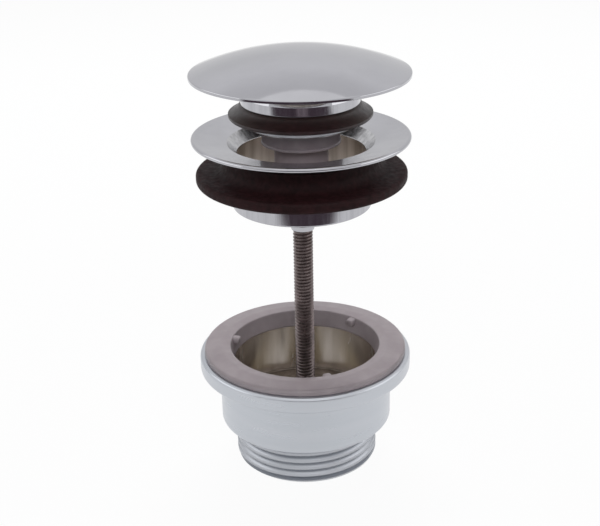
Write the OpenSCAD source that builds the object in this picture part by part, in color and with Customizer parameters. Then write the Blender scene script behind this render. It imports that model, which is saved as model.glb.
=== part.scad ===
// Push-to-open basin waste: domed plug on a click cartridge, strainer, clamp rod and threaded tail body.
// The strainer hangs on a long M6 rod that screws into a spider in the tail body and so clamps the basin.
// Origin at the centre of the tail's lower end face, Z up along the rod. The plug is shown open.

/* [Tail body] */
// Outer diameter of the pipe thread on the tail, G 1 1/4
tail_thread_d = 41.91; // [40.5:0.01:44]
// Length of the threaded part
tail_thread_len = 11.4; // [8:0.1:16]
// Pitch of the pipe thread, 11 to the inch
tail_pitch = 2.309; // [2:0.001:3]
// Depth of the pipe thread
thread_depth = 1.479; // [1:0.001:1.6]
// Height of the plain relief between thread and body
relief_h = 1.2; // [1:0.1:3]
// Diameter of the body's middle
body_d = 50.4; // [49:0.2:55]
// Height of the body's middle
body_h = 16.2; // [12:0.2:24]
// Diameter of the rim that carries the gasket
rim_d = 61.8; // [60:0.2:70]
// Height of the rim
rim_h = 4.9; // [4:0.1:8]
// Bore that the strainer's cup drops into
tail_bore_d = 46; // [45:0.1:46.6]
// Bore of the outlet through the tail
outlet_d = 36; // [34:0.1:36.4]
// Thickness of the body's floor above the relief
floor_t = 2; // [1.6:0.1:4]
// Height of the shelf at the outlet's lower end that stops the spider
shelf_h = 3.5; // [2:0.1:5]
// Width of that shelf
shelf_w = 1.5; // [1:0.1:2]
// Rounding of the body's outer edges
tail_round = 1; // [0.4:0.1:1.6]

/* [Tail spider] */
// Number of arms
spider_arms = 3; // [3:1:4]
// Width of an arm
spider_arm_w = 3.6; // [2.5:0.1:5]
// Height of the arms and of the outer ring
spider_h = 5; // [4:0.1:7]
// Wall of the outer ring
spider_ring_t = 1.5; // [1.2:0.1:2.4]
// Diameter of the threaded hub
spider_hub_d = 11; // [9:0.1:14]
// Height of the threaded hub
spider_hub_h = 9; // [7:0.1:10]

/* [Tail gasket] */
// Outer diameter at the foot
gasket_d = 59; // [56:0.1:60]
// Thickness above the rim
gasket_t = 1.9; // [1.4:0.1:4]
// Width of the rounded shoulder round its outer edge
gasket_shoulder = 1.6; // [1:0.1:1.8]
// Diameter of the mouth at the top
gasket_mouth_d = 43.8; // [42.4:0.1:44]
// Depth of the mouth, down to the step above the throat
gasket_mouth_depth = 2.3; // [2:0.1:3]
// Rounding of the bead round the mouth
gasket_mouth_round = 2.1; // [0.8:0.1:2.2]
// Height of that bead above the flat top
gasket_bead_h = 0.3; // [0:0.1:0.5]
// Diameter of the throat below the step
gasket_throat_d = 42.6; // [41.6:0.1:43.4]
// Depth of the skirt below the rim's top
gasket_skirt = 2.7; // [2:0.1:5]
// Number of centring nibs
nib_count = 3; // [3:1:6]
// Width of a nib
nib_w = 2.5; // [1.5:0.1:4]
// Distance of a nib's top below the gasket's top
nib_drop = 1; // [0.8:0.1:2]
// Angle of the first nib
nib_angle = 47; // [0:1:120]

/* [Clamp rod] */
// Diameter of the M6 rod
rod_d = 6; // [5:0.5:8]
// Height of the rod's lower end above the tail's end face
rod_tip_z = 2; // [0.5:0.1:3]
// Chamfer on the rod's ends
rod_chamfer = 0.8; // [0.4:0.1:1.2]
// Height of the nose nut under the strainer
nut_h = 7.4; // [6:0.1:10]
// Height of its hexagon
nut_hex_h = 3.6; // [2.5:0.1:4.5]
// Width of its hexagon across flats
nut_af = 11; // [10.5:0.1:13]
// Diameter of the nose's lower end
nut_tip_d = 7.2; // [7:0.1:9]

/* [Strainer] */
// Open height between the gasket and the strainer's lower edge
clamp_gap = 43.7; // [36:0.1:50]
// Outer diameter of the cup
cup_d = 39; // [38:0.1:40]
// Wall of the cup
cup_wall = 1.7; // [1.4:0.1:2.2]
// Height from the cup's lower edge to the flange's rim
strainer_h = 20.1; // [17:0.1:26]
// Outer diameter of the flange
flange_d = 60.6; // [56:0.1:70]
// Thickness of the flange
flange_t = 1.3; // [1:0.1:2]
// How far the flange dips from its rim to the seat
flange_dish = 1.7; // [0.8:0.1:3]
// Diameter of the conical seat at its top
seat_d = 41; // [40.4:0.1:43]
// Depth of the conical seat
seat_depth = 3; // [2:0.1:4]
// Number of webs that carry the hub
web_count = 4; // [3:1:6]
// Width of a web
web_w = 4; // [2.5:0.1:5]
// Height of webs and hub
web_h = 3.3; // [2.5:0.1:5]
// Diameter of the hub
hub_d = 18; // [16.6:0.1:20]

/* [Basin seal] */
// Outer diameter
basin_seal_d = 58.8; // [52:0.1:66]
// Thickness of the brim
basin_seal_t = 3; // [2:0.1:5]
// Wall of the collar that grips the cup
seal_collar_w = 1.9; // [1.4:0.1:3]
// Height of the collar above the brim
seal_collar_h = 5.4; // [4:0.1:6]
// Rounding between brim and collar
seal_fillet = 3; // [1:0.1:3.4]
// Distance that the collar hangs below the flange
seal_play = 1.5; // [0.6:0.1:4]

/* [Plug] */
// Travel of the plug from open to closed
press_travel = 7.8; // [6:0.1:9]
// Diameter of the lip seal
lip_d = 39.6; // [38.6:0.1:40.2]
// Thickness of the lip seal where it is clamped
lip_t = 4.3; // [2.5:0.1:4.8]
// Height of the lip's upright edge
lip_edge = 0.6; // [0.4:0.1:1]
// Width of the lip's sealing face
lip_face_w = 0.4; // [0.3:0.1:1.6]
// Height from the lip's sealing edge up to the carrier
lip_rise = 3.5; // [2:0.1:4]
// Radius of the hollow flare above the lip
lip_flare = 5; // [4:0.1:8]
// Diameter of the washer under the seal
seal_washer_d = 30; // [25:0.1:31]
// Thickness of that washer
seal_washer_t = 1.9; // [0.8:0.1:2.4]
// Diameter of the seal carrier
carrier_d = 32.7; // [30:0.1:36]
// Thickness of the seal carrier
carrier_t = 3.5; // [2.5:0.1:6]
// Chamfer on the carrier's upper edge
carrier_chamfer = 0.6; // [0.3:0.1:1]
// Diameter of the cap
cap_d = 60.4; // [56:0.1:70]
// Rise of the dome
cap_rise = 5.9; // [4:0.1:12]
// Thickness of the cap's sheet
cap_t = 1.2; // [0.8:0.1:2]
// Height of the cap's rim above the carrier
cap_stand = 3.7; // [1:0.1:8]
// Diameter of the hub under the cap
cap_hub_d = 22; // [20.6:0.1:26]

/* [Cartridge] */
// Diameter of the fixed stem
stem_d = 15; // [14.6:0.1:16]
// Wall of the stem
stem_wall = 1.9; // [1.4:0.1:2]
// Thickness of the stem's floor
stem_floor_t = 1.6; // [1.2:0.1:3]
// Diameter of the stem's foot
foot_d = 17.2; // [16.2:0.1:19]
// Height of the stem's foot
foot_h = 2.2; // [1.6:0.1:2.4]
// Thickness of the washer under the foot
stem_washer_t = 0.8; // [0.5:0.1:1.2]
// Width of the retaining lip round the stem's top
stem_lip_w = 1; // [0.8:0.1:1.2]
// Height of that lip
stem_lip_h = 1.5; // [1:0.1:2]
// Diameter of the threaded bush in the foot
bush_d = 10.4; // [9.6:0.1:10.6]
// Diameter of the sleeve's collar
collar_d = 21.6; // [21.2:0.1:23]
// Height of the sleeve's collar
collar_h = 5.2; // [4.8:0.1:8]
// Wall of the sleeve's neck
sleeve_wall = 1.1; // [0.8:0.1:1.3]
// Thickness of the sleeve's top
sleeve_top_t = 1.7; // [1.2:0.1:2.5]
// Width by which the snap ring is let into the collar
ring_seat_w = 0.9; // [0.6:0.1:1]
// Diameter of the plunger
plunger_d = 9.2; // [8.8:0.1:9.4]
// Length of the plunger
plunger_len = 7.9; // [7:0.1:9]
// Number of teeth on the plunger
plunger_teeth = 8; // [4:2:12]
// Height of the index cam
index_h = 3.4; // [3:0.1:4]
// Height of its fins
fin_h = 2.5; // [2:0.1:2.8]
// Width of a fin and of a guide rib
fin_w = 1.4; // [1:0.1:1.8]
// Number of fins and of guide ribs
fin_count = 4; // [3:1:4]
// How far the guide ribs reach past the fins' tops
rib_engage = 4; // [2:0.1:4.2]
// Wire diameter of the return spring
spring_wire_d = 0.8; // [0.6:0.05:0.9]
// Number of turns of the return spring
spring_turns = 4.5; // [3:0.5:5]

/* [Clearances] */
// Radial clearance of a thread or a running fit
run_clear = 0.05; // [0.02:0.01:0.1]
// Radial clearance where one piece slides along another
guide_clear = 0.3; // [0.25:0.01:0.4]
// End float of the turning rod and gap at every stop
stop_clear = 0.3; // [0.2:0.01:0.4]
// Gap between lip seal and seat when the plug is down
seat_clear = 0.3; // [0.2:0.01:0.5]
// Radial clearance of the basin seal on the cup
seal_clear = 0.1; // [0.05:0.01:0.2]

/* [Hidden] */
$fn = 120;

// Margin by which a cut runs past the face that it opens
cut = 1;
// Small edge break on moulded and turned pieces
edge_break = 0.4;
// Flank angle of a pipe thread
thread_flank_angle = 27.5;

// Tail levels, from the end face up
z_body = tail_thread_len + relief_h;
z_rim = z_body + body_h;
z_tail_top = z_rim + rim_h;
z_ledge = z_body + floor_t;
z_gasket = z_tail_top + gasket_t;

// Strainer levels
z_cup = z_gasket + clamp_gap;
z_flange = z_cup + strainer_h;
z_seat_top = z_flange - flange_dish;
z_seat_low = z_seat_top - seat_depth;
z_flange_under = z_seat_top - flange_t;
z_hub_top = z_cup + web_h;
cup_bore_r = cup_d / 2 - cup_wall;

// Basin seal levels, down from the flange
z_collar = z_flange_under - seal_play;
z_brim = z_collar - seal_collar_h;
z_seal_low = z_brim - basin_seal_t;

// Seat slope, and the plug's levels that follow from it and from the travel
seat_run = seat_d / 2 - cup_bore_r;
seat_slope = seat_depth / seat_run;
seat_gap_z = seat_clear / cos(atan(seat_slope));
z_lip_edge = z_seat_low + (lip_d / 2 - cup_bore_r) * seat_slope + press_travel + seat_gap_z;
z_carrier = z_lip_edge + lip_rise;
z_lip_foot = z_carrier - lip_t;
z_shoulder = z_lip_foot - seal_washer_t;
z_stack_top = z_carrier + carrier_t;
z_cap_rim = z_stack_top + cap_stand;

// Cartridge levels
z_stem = z_hub_top + stop_clear + stem_washer_t;
z_floor = z_stem + stem_floor_t;
z_ceiling = z_stack_top - sleeve_top_t;
z_stem_top = z_ceiling - press_travel - stop_clear;
z_sleeve = z_shoulder - collar_h;
z_ring_top = z_stem_top - stem_lip_h - stop_clear;
z_plunger = z_ceiling - plunger_len;
z_index_top = z_plunger - stop_clear;
z_index = z_index_top - index_h;
z_fin_top = z_index + fin_h;
z_rib = z_fin_top - rib_engage;

// Radii that fit one another
rod_r = rod_d / 2;
tapped_r = rod_r + run_clear;
stem_r = stem_d / 2;
stem_bore_r = stem_r - stem_wall;
bush_r = bush_d / 2;
lip_clear_r = stem_r + stem_lip_w + guide_clear;
neck_r = lip_clear_r + sleeve_wall;
neck_hole_r = neck_r + run_clear;
ring_seat_r = lip_clear_r + ring_seat_w;
plunger_r = plunger_d / 2;
rib_r = plunger_r + guide_clear;
fin_r = stem_bore_r - guide_clear;
spring_wire_r = spring_wire_d / 2;
spring_r = rib_r - guide_clear - spring_wire_r - 2 * run_clear;
nib_r = cup_d / 2 + guide_clear;

// Rod ends and the nut under the strainer
z_rod_top = z_floor - edge_break;
z_nut_top = z_cup - stop_clear;
z_nut = z_nut_top - nut_h;
z_stud_low = z_plunger + plunger_len / 5;
z_stud_top = z_cap_rim + cap_t + cap_rise / 2;

// Points along an arc in a profile, from angle a0 to a1 about the centre c
function arc(c, r, a0, a1, n = 8) =
    [for (i = [0:n]) c + r * [cos(a0 + (a1 - a0) * i / n), sin(a0 + (a1 - a0) * i / n)]];

// Points along a hollow arc of radius r from a to b, with its centre on the right of the way
function hollow(a, b, r, n = 6) =
    let (d = b - a, c = (a + b) / 2 + sqrt(r * r - d * d / 4) * [d[1], -d[0]] / norm(d))
    arc(c, r, atan2(a[1] - c[1], a[0] - c[0]), atan2(b[1] - c[1], b[0] - c[0]), n);

// Turned solid from a profile of [radius, height] points
module turned(profile) {
    rotate_extrude() polygon(profile);
}

// Ring between two radii, standing on z
module ring(r_out, r_in, z, h) {
    difference() {
        translate([0, 0, z]) cylinder(r = r_out, h = h);
        translate([0, 0, z - cut]) cylinder(r = r_in, h = h + 2 * cut);
    }
}

// Rod with chamfered ends between two heights
module chamfered_rod(r, z0, z1, chamfer) {
    turned([
        [0, z0], [r - chamfer, z0], [r, z0 + chamfer],
        [r, z1 - chamfer], [r - chamfer, z1], [0, z1]
    ]);
}

// Copies of the children spaced evenly round the Z axis
module around(count, first = 0) {
    for (i = [0:count - 1]) rotate(first + i * 360 / count) children();
}

// Arm along +X between two radii, standing on z
module arm(r_in, r_out, width, z, h) {
    translate([r_in, -width / 2, z]) cube([r_out - r_in, width, h]);
}

// Brass tail: threaded outlet, body, and the rim that carries the gasket. Rings stand for the thread's turns
module tail_body() {
    thread_r = tail_thread_d / 2;
    root_r = thread_r - thread_depth;
    flank = thread_depth * tan(thread_flank_angle);
    crest = tail_pitch / 2 - flank;
    turn_h = crest + 2 * flank;
    turns = floor((tail_thread_len - turn_h) / tail_pitch) + 1;
    z_turn = (tail_thread_len - turn_h - (turns - 1) * tail_pitch) / 2;
    turn = [[root_r, 0], [thread_r, flank], [thread_r, flank + crest], [root_r, turn_h]];
    body_r = body_d / 2;
    rim_r = rim_d / 2;
    outlet_r = outlet_d / 2;
    bore_r = tail_bore_d / 2;
    color("#c6cad0") turned(concat(
        [[outlet_r - shelf_w, 0], [root_r, 0]],
        [for (i = [0:turns - 1], p = turn) p + [0, z_turn + i * tail_pitch]],
        [[root_r, z_body]],
        arc([body_r - tail_round, z_body + tail_round], tail_round, -90, 0),
        arc([body_r + edge_break, z_rim - edge_break], edge_break, 180, 90, 4),
        arc([rim_r - tail_round, z_rim + tail_round], tail_round, -90, 0),
        arc([rim_r - tail_round, z_tail_top - tail_round], tail_round, 0, 90),
        [[bore_r + edge_break, z_tail_top], [bore_r, z_tail_top - edge_break], [bore_r, z_ledge]],
        [[outlet_r + edge_break, z_ledge], [outlet_r, z_ledge - edge_break]],
        [[outlet_r, shelf_h], [outlet_r - shelf_w, shelf_h]]
    ));
}

// Pressed-in bridge with the tapped hub that the rod screws into
module tail_spider() {
    ring_r = outlet_d / 2 - run_clear;
    hub_r = spider_hub_d / 2;
    z_arm = shelf_h + edge_break;
    arm_h = spider_h - 2 * edge_break;
    color("#b9a878") difference() {
        union() {
            ring(ring_r, ring_r - spider_ring_t, shelf_h, spider_h);
            translate([0, 0, shelf_h]) cylinder(r = hub_r, h = spider_hub_h);
            around(spider_arms, 90)
                arm((tapped_r + hub_r) / 2, ring_r - spider_ring_t / 2, spider_arm_w, z_arm, arm_h);
        }
        translate([0, 0, shelf_h - cut]) cylinder(r = tapped_r, h = spider_hub_h + 2 * cut);
    }
}

// Gasket with a skirt into the tail's bore and nibs that centre the strainer's cup
module tail_gasket() {
    foot_r = gasket_d / 2;
    skirt_r = tail_bore_d / 2 - seal_clear;
    mouth_r = gasket_mouth_d / 2;
    throat_r = gasket_throat_d / 2;
    z_skirt = z_tail_top - gasket_skirt;
    z_step = z_gasket - gasket_mouth_depth;
    z_bead = z_gasket + gasket_bead_h - gasket_mouth_round;
    bead_angle = asin((z_gasket - z_bead) / gasket_mouth_round);
    z_nib = z_skirt + edge_break;
    nib_h = z_gasket - nib_drop - z_nib;
    color("#9a9195") union() {
        turned(concat(
            [[throat_r, z_skirt], [skirt_r - edge_break, z_skirt], [skirt_r, z_skirt + edge_break]],
            [[skirt_r, z_tail_top], [foot_r, z_tail_top]],
            arc([foot_r - gasket_shoulder, z_gasket - gasket_shoulder], gasket_shoulder, 0, 90),
            arc([mouth_r + gasket_mouth_round, z_bead], gasket_mouth_round, bead_angle, 180),
            [[mouth_r, z_step], [throat_r, z_step - (mouth_r - throat_r)]]
        ));
        around(nib_count, nib_angle)
            arm(nib_r, skirt_r - edge_break, nib_w, z_nib, nib_h);
    }
}

// Dished flange with a conical seat, cup and webbed bottom
module strainer() {
    cup_r = cup_d / 2;
    flange_r = flange_d / 2;
    rim_round = flange_t / 2;
    color("#cfd2d6") difference() {
        union() {
            turned(concat(
                [[cup_bore_r, z_cup], [cup_r - edge_break, z_cup], [cup_r, z_cup + edge_break]],
                arc([cup_r + edge_break, z_flange_under - edge_break], edge_break, 180, 90, 4),
                arc([flange_r - rim_round, z_flange - rim_round], rim_round, -80, 90),
                [[seat_d / 2, z_seat_top], [cup_bore_r, z_seat_low]]
            ));
            translate([0, 0, z_cup]) cylinder(d = hub_d, h = web_h);
            around(web_count, 180 / web_count)
                arm(0, cup_bore_r + cup_wall / 2, web_w, z_cup, web_h);
        }
        translate([0, 0, z_cup - cut]) cylinder(r = bush_r + 2 * run_clear, h = web_h + 2 * cut);
    }
}

// Hat-shaped rubber seal: a flat brim for the basin and a collar round the strainer's cup
module basin_seal() {
    edge_r = basin_seal_t / 3;
    seal_r = basin_seal_d / 2;
    hole_r = cup_d / 2 + seal_clear;
    grip_r = hole_r + seal_collar_w;
    color("#2b2426") turned(concat(
        [[hole_r, z_seal_low + edge_break], [hole_r + edge_break, z_seal_low]],
        arc([seal_r - edge_r, z_seal_low + edge_r], edge_r, -90, 0),
        arc([seal_r - edge_r, z_brim - edge_r], edge_r, 0, 90),
        arc([grip_r + seal_fillet, z_brim + seal_fillet], seal_fillet, -90, -180),
        [[grip_r, z_collar - edge_break], [grip_r - edge_break, z_collar]],
        [[hole_r + edge_break, z_collar], [hole_r, z_collar - edge_break]]
    ));
}

// Long M6 rod from the cartridge's bush down into the spider
module clamp_rod() {
    color("#5a5354") chamfered_rod(rod_r, rod_tip_z, z_rod_top, rod_chamfer);
}

// Nose nut that holds the strainer up on the rod
module rod_nut() {
    tip_r = nut_tip_d / 2;
    z_hex = z_nut_top - nut_hex_h;
    hex_r = nut_af / sqrt(3);
    color("#c6cad0") difference() {
        union() {
            translate([0, 0, z_hex]) cylinder(r = hex_r, h = nut_hex_h, $fn = 6);
            turned([
                [0, z_nut], [tip_r - edge_break, z_nut], [tip_r, z_nut + edge_break],
                [nut_af / 2, z_hex], [nut_af / 2, z_hex + edge_break], [0, z_hex + edge_break]
            ]);
        }
        translate([0, 0, z_nut - cut]) cylinder(r = tapped_r, h = nut_h + 2 * cut);
    }
}

// Threaded brass insert that ties the stem to the rod
module stem_bush() {
    color("#b9a878") ring(bush_r, tapped_r, z_nut_top, z_floor - z_nut_top);
}

// Plastic washer under the stem's foot
module stem_washer() {
    color("#d9d6cf") ring(foot_d / 2, bush_r + run_clear, z_stem - stem_washer_t, stem_washer_t);
}

// Fixed post of the cartridge, with guide ribs inside and a retaining lip round its top
module cartridge_stem() {
    lip_r = stem_r + stem_lip_w;
    color("#6f666c") union() {
        turned([
            [bush_r + run_clear, z_stem], [foot_d / 2, z_stem],
            [foot_d / 2, z_stem + foot_h - edge_break], [foot_d / 2 - edge_break, z_stem + foot_h],
            [stem_r, z_stem + foot_h], [stem_r, z_stem_top - stem_lip_h],
            [lip_r, z_stem_top - stem_lip_h], [lip_r, z_stem_top - edge_break],
            [lip_r - edge_break, z_stem_top], [stem_bore_r, z_stem_top],
            [stem_bore_r, z_floor], [bush_r + run_clear, z_floor]
        ]);
        around(fin_count)
            arm(rib_r, stem_bore_r + stem_wall / 2, fin_w, z_rib, z_stem_top - z_rib);
    }
}

// Compression spring between the stem's floor and the index cam
module return_spring() {
    sides = 8;
    steps = 24;
    rings = ceil(spring_turns * steps);
    z0 = z_floor + spring_wire_r + run_clear;
    z1 = z_index - spring_wire_r - run_clear;
    points = [
        for (i = [0:rings], j = [0:sides - 1])
            let (turn = 360 * spring_turns * i / rings, a = 360 * j / sides)
            let (r = spring_r + spring_wire_r * cos(a))
            [r * cos(turn), r * sin(turn), z0 + (z1 - z0) * i / rings + spring_wire_r * sin(a)]
    ];
    sides_faces = [
        for (i = [0:rings - 1], j = [0:sides - 1])
            let (a = i * sides + j, b = i * sides + (j + 1) % sides)
            [a, b, b + sides, a + sides]
    ];
    ends = [
        [for (j = [sides - 1:-1:0]) j],
        [for (j = [0:sides - 1]) rings * sides + j]
    ];
    color("#b5b8bb") polyhedron(points, concat(sides_faces, ends));
}

// Moving sleeve of the cartridge: collar, neck and closed top
module cartridge_sleeve() {
    collar_r = collar_d / 2;
    color("#7a7076") turned([
        [ring_seat_r, z_sleeve], [collar_r - edge_break, z_sleeve], [collar_r, z_sleeve + edge_break],
        [collar_r, z_shoulder - edge_break], [collar_r - edge_break, z_shoulder], [neck_r, z_shoulder],
        [neck_r, z_stack_top], [tapped_r, z_stack_top], [tapped_r, z_ceiling],
        [lip_clear_r, z_ceiling], [lip_clear_r, z_ring_top], [ring_seat_r, z_ring_top]
    ]);
}

// Snap ring in the collar that catches the stem's lip
module sleeve_ring() {
    color("#d9d6cf") ring(ring_seat_r - run_clear, stem_r + guide_clear, z_sleeve, z_ring_top - z_sleeve);
}

// Pusher under the sleeve's top, with a toothed lower end
module plunger() {
    tooth_h = PI * plunger_d / plunger_teeth / 4;
    notch = [[-tooth_h, -cut], [tooth_h, -cut], [tooth_h, 0], [0, tooth_h], [-tooth_h, 0]];
    color("#e4e1da") difference() {
        translate([0, 0, z_plunger]) cylinder(r = plunger_r, h = plunger_len);
        translate([0, 0, z_stud_low - run_clear]) cylinder(r = tapped_r, h = plunger_len);
        around(plunger_teeth) translate([plunger_r / 2, 0, z_plunger]) rotate([90, 0, 90])
            linear_extrude(plunger_r) polygon(notch);
    }
}

// Finned ring that turns at each push and latches under the stem's ribs
module index_cam() {
    fin_slant = fin_w / 2;
    fin = [[-fin_w / 2, 0], [fin_w / 2, 0], [fin_w / 2, fin_h - fin_slant], [-fin_w / 2, fin_h]];
    spigot_r = spring_r - spring_wire_r - guide_clear;
    spigot_h = 1.5 * spring_wire_d;
    color("#e4e1da") union() {
        translate([0, 0, z_index]) cylinder(r = plunger_r, h = index_h);
        translate([0, 0, z_index - spigot_h]) cylinder(r = spigot_r, h = spigot_h + cut);
        around(fin_count, 180 / fin_count) translate([plunger_r / 2, 0, z_index]) rotate([90, 0, 90])
            linear_extrude(fin_r - plunger_r / 2) polygon(fin);
    }
}

// M6 stud through the sleeve's top, from the plunger into the cap's hub
module cap_stud() {
    color("#b5b8bb") chamfered_rod(rod_r, z_stud_low, z_stud_top, rod_chamfer);
}

// Washer between the sleeve's shoulder and the lip seal
module seal_washer() {
    color("#cfd2d6") ring(seal_washer_d / 2, neck_hole_r, z_shoulder, seal_washer_t);
}

// Lip seal: clamped inside, flaring outside to a sealing face parallel with the seat
module lip_seal() {
    lip_r = lip_d / 2;
    face_r = lip_r - lip_face_w;
    root_r = seal_washer_d / 2 + edge_break;
    flare_r = carrier_d / 2 + edge_break;
    color("#2b2426") turned(concat(
        [[neck_hole_r, z_lip_foot], [root_r, z_lip_foot]],
        [[face_r, z_lip_edge - lip_face_w * seat_slope], [lip_r, z_lip_edge]],
        hollow([lip_r, z_lip_edge + lip_edge], [flare_r, z_carrier - edge_break], lip_flare),
        [[carrier_d / 2, z_carrier], [neck_hole_r, z_carrier]]
    ));
}

// Turned disc that backs the lip seal
module seal_carrier() {
    carrier_r = carrier_d / 2;
    color("#cfd2d6") turned([
        [neck_hole_r, z_carrier], [carrier_r, z_carrier], [carrier_r, z_stack_top - carrier_chamfer],
        [carrier_r - carrier_chamfer, z_stack_top], [neck_hole_r, z_stack_top]
    ]);
}

// Domed cap of even sheet with a round rim, and the tapped hub under it
module plug_cap() {
    round_r = cap_t / 2;
    rim_x = cap_d / 2 - round_r;
    rim_z = z_cap_rim + round_r;
    dome_r = (rim_x * rim_x + cap_rise * cap_rise) / (2 * cap_rise);
    z_centre = rim_z + cap_rise - dome_r;
    half_angle = asin(rim_x / dome_r);
    reach = dome_r + cap_d;
    hole_h = z_stud_top - z_stack_top + run_clear;
    color("#cfd2d6") difference() {
        union() {
            rotate_extrude() intersection() {
                translate([0, z_centre]) difference() {
                    circle(r = dome_r + round_r, $fn = 720);
                    circle(r = dome_r - round_r, $fn = 720);
                }
                translate([0, z_centre])
                    polygon([[0, 0], [reach * tan(half_angle), reach], [0, reach]]);
            }
            rotate_extrude() translate([rim_x, rim_z]) circle(r = round_r, $fn = 32);
            intersection() {
                translate([0, 0, z_stack_top]) cylinder(d = cap_hub_d, h = cap_d);
                translate([0, 0, z_centre]) sphere(r = dome_r, $fn = 720);
            }
        }
        translate([0, 0, z_stack_top - cut]) cylinder(r = tapped_r, h = hole_h + cut);
    }
}

tail_body();
tail_spider();
tail_gasket();
strainer();
basin_seal();
clamp_rod();
rod_nut();
stem_bush();
stem_washer();
cartridge_stem();
return_spring();
cartridge_sleeve();
sleeve_ring();
plunger();
cap_stud();
seal_washer();
lip_seal();
seal_carrier();
plug_cap();
index_cam();
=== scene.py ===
"""Looks of a push-to-open basin waste: domed plug, dished strainer, clamp rod and threaded tail.

Sizes in the classes are millimetres in the part's own frame: Z up the rod, origin under the tail.
"""

import logging
import math
from contextlib import contextmanager
from dataclasses import dataclass
from enum import Enum
from typing import Callable, Iterator

import bpy
from mathutils import Matrix, Vector


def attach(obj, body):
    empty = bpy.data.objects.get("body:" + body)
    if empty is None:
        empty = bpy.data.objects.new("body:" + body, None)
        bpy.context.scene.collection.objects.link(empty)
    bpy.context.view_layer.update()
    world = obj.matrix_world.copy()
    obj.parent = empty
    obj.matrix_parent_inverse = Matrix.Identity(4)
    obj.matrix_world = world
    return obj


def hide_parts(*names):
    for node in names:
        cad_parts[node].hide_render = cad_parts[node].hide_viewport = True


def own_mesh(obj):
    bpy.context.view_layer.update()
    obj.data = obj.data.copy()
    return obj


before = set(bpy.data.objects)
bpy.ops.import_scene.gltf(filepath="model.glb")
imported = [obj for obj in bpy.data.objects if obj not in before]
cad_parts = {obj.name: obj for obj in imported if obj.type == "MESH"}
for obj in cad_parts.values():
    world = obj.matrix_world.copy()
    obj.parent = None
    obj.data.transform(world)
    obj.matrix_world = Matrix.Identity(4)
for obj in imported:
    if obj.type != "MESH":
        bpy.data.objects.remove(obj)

LOG = logging.getLogger("basin_waste")
MM = 0.001
MERGE = 0.002 * MM
IMAGE_WIDTH = 600
SENSOR_WIDTH = 36.0

Point = tuple[float, float]
Triple = tuple[float, float, float]
Piece = bpy.types.Object
Pick = Callable[[float, float, float, float], int]


class Body(Enum):
    """Bodies that the new pieces move with."""

    TAIL = "tail"
    STRAINER = "strainer"
    SEAL = "basin_seal"
    SCREW = "screw"
    PLUG = "plug"


class Slot(Enum):
    """Material slots of the new pieces, by their names in the part's record."""

    BRIGHT_CHROME = "bright_chrome"
    SATIN_CHROME = "satin_chrome"
    BRASS = "bare_brass"
    DARK_STEEL = "dark_steel"
    SPRING_STEEL = "spring_steel"
    BLACK_RUBBER = "black_rubber"
    GREY_GASKET = "grey_gasket"
    GREY_PLASTIC = "grey_plastic"


def linear(code: str) -> tuple[float, float, float, float]:
    """Turns an sRGB hex colour into linear RGBA.

    Args:
        code: Six hex digits after a hash sign.

    Returns:
        Linear red, green and blue with an alpha of 1.
    """
    values = [int(code[i:i + 2], 16) / 255 for i in (1, 3, 5)]
    red, green, blue = [v / 12.92 if v <= 0.04045 else ((v + 0.055) / 1.055) ** 2.4 for v in values]
    return red, green, blue, 1.0


def per_mm(size: float) -> float:
    """Scale of a texture on Object coordinates whose features are size millimetres wide."""
    return 1.0 / (size * MM)


def add_node(tree: bpy.types.NodeTree, kind: str, settings: dict[str, object] | None = None,
             inputs: dict[str | int, object] | None = None) -> bpy.types.Node:
    """Adds a node with its settings, and links or sets its inputs.

    Args:
        tree: Node tree that the node goes into.
        kind: Type name of the node.
        settings: Properties of the node itself.
        inputs: Value, or socket to link from, for each named or numbered input.

    Returns:
        The new node.
    """
    node = tree.nodes.new(kind)
    for name, value in (settings or {}).items():
        setattr(node, name, value)
    for key, value in (inputs or {}).items():
        if isinstance(value, bpy.types.NodeSocket):
            tree.links.new(value, node.inputs[key])
        else:
            node.inputs[key].default_value = value
    return node


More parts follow.
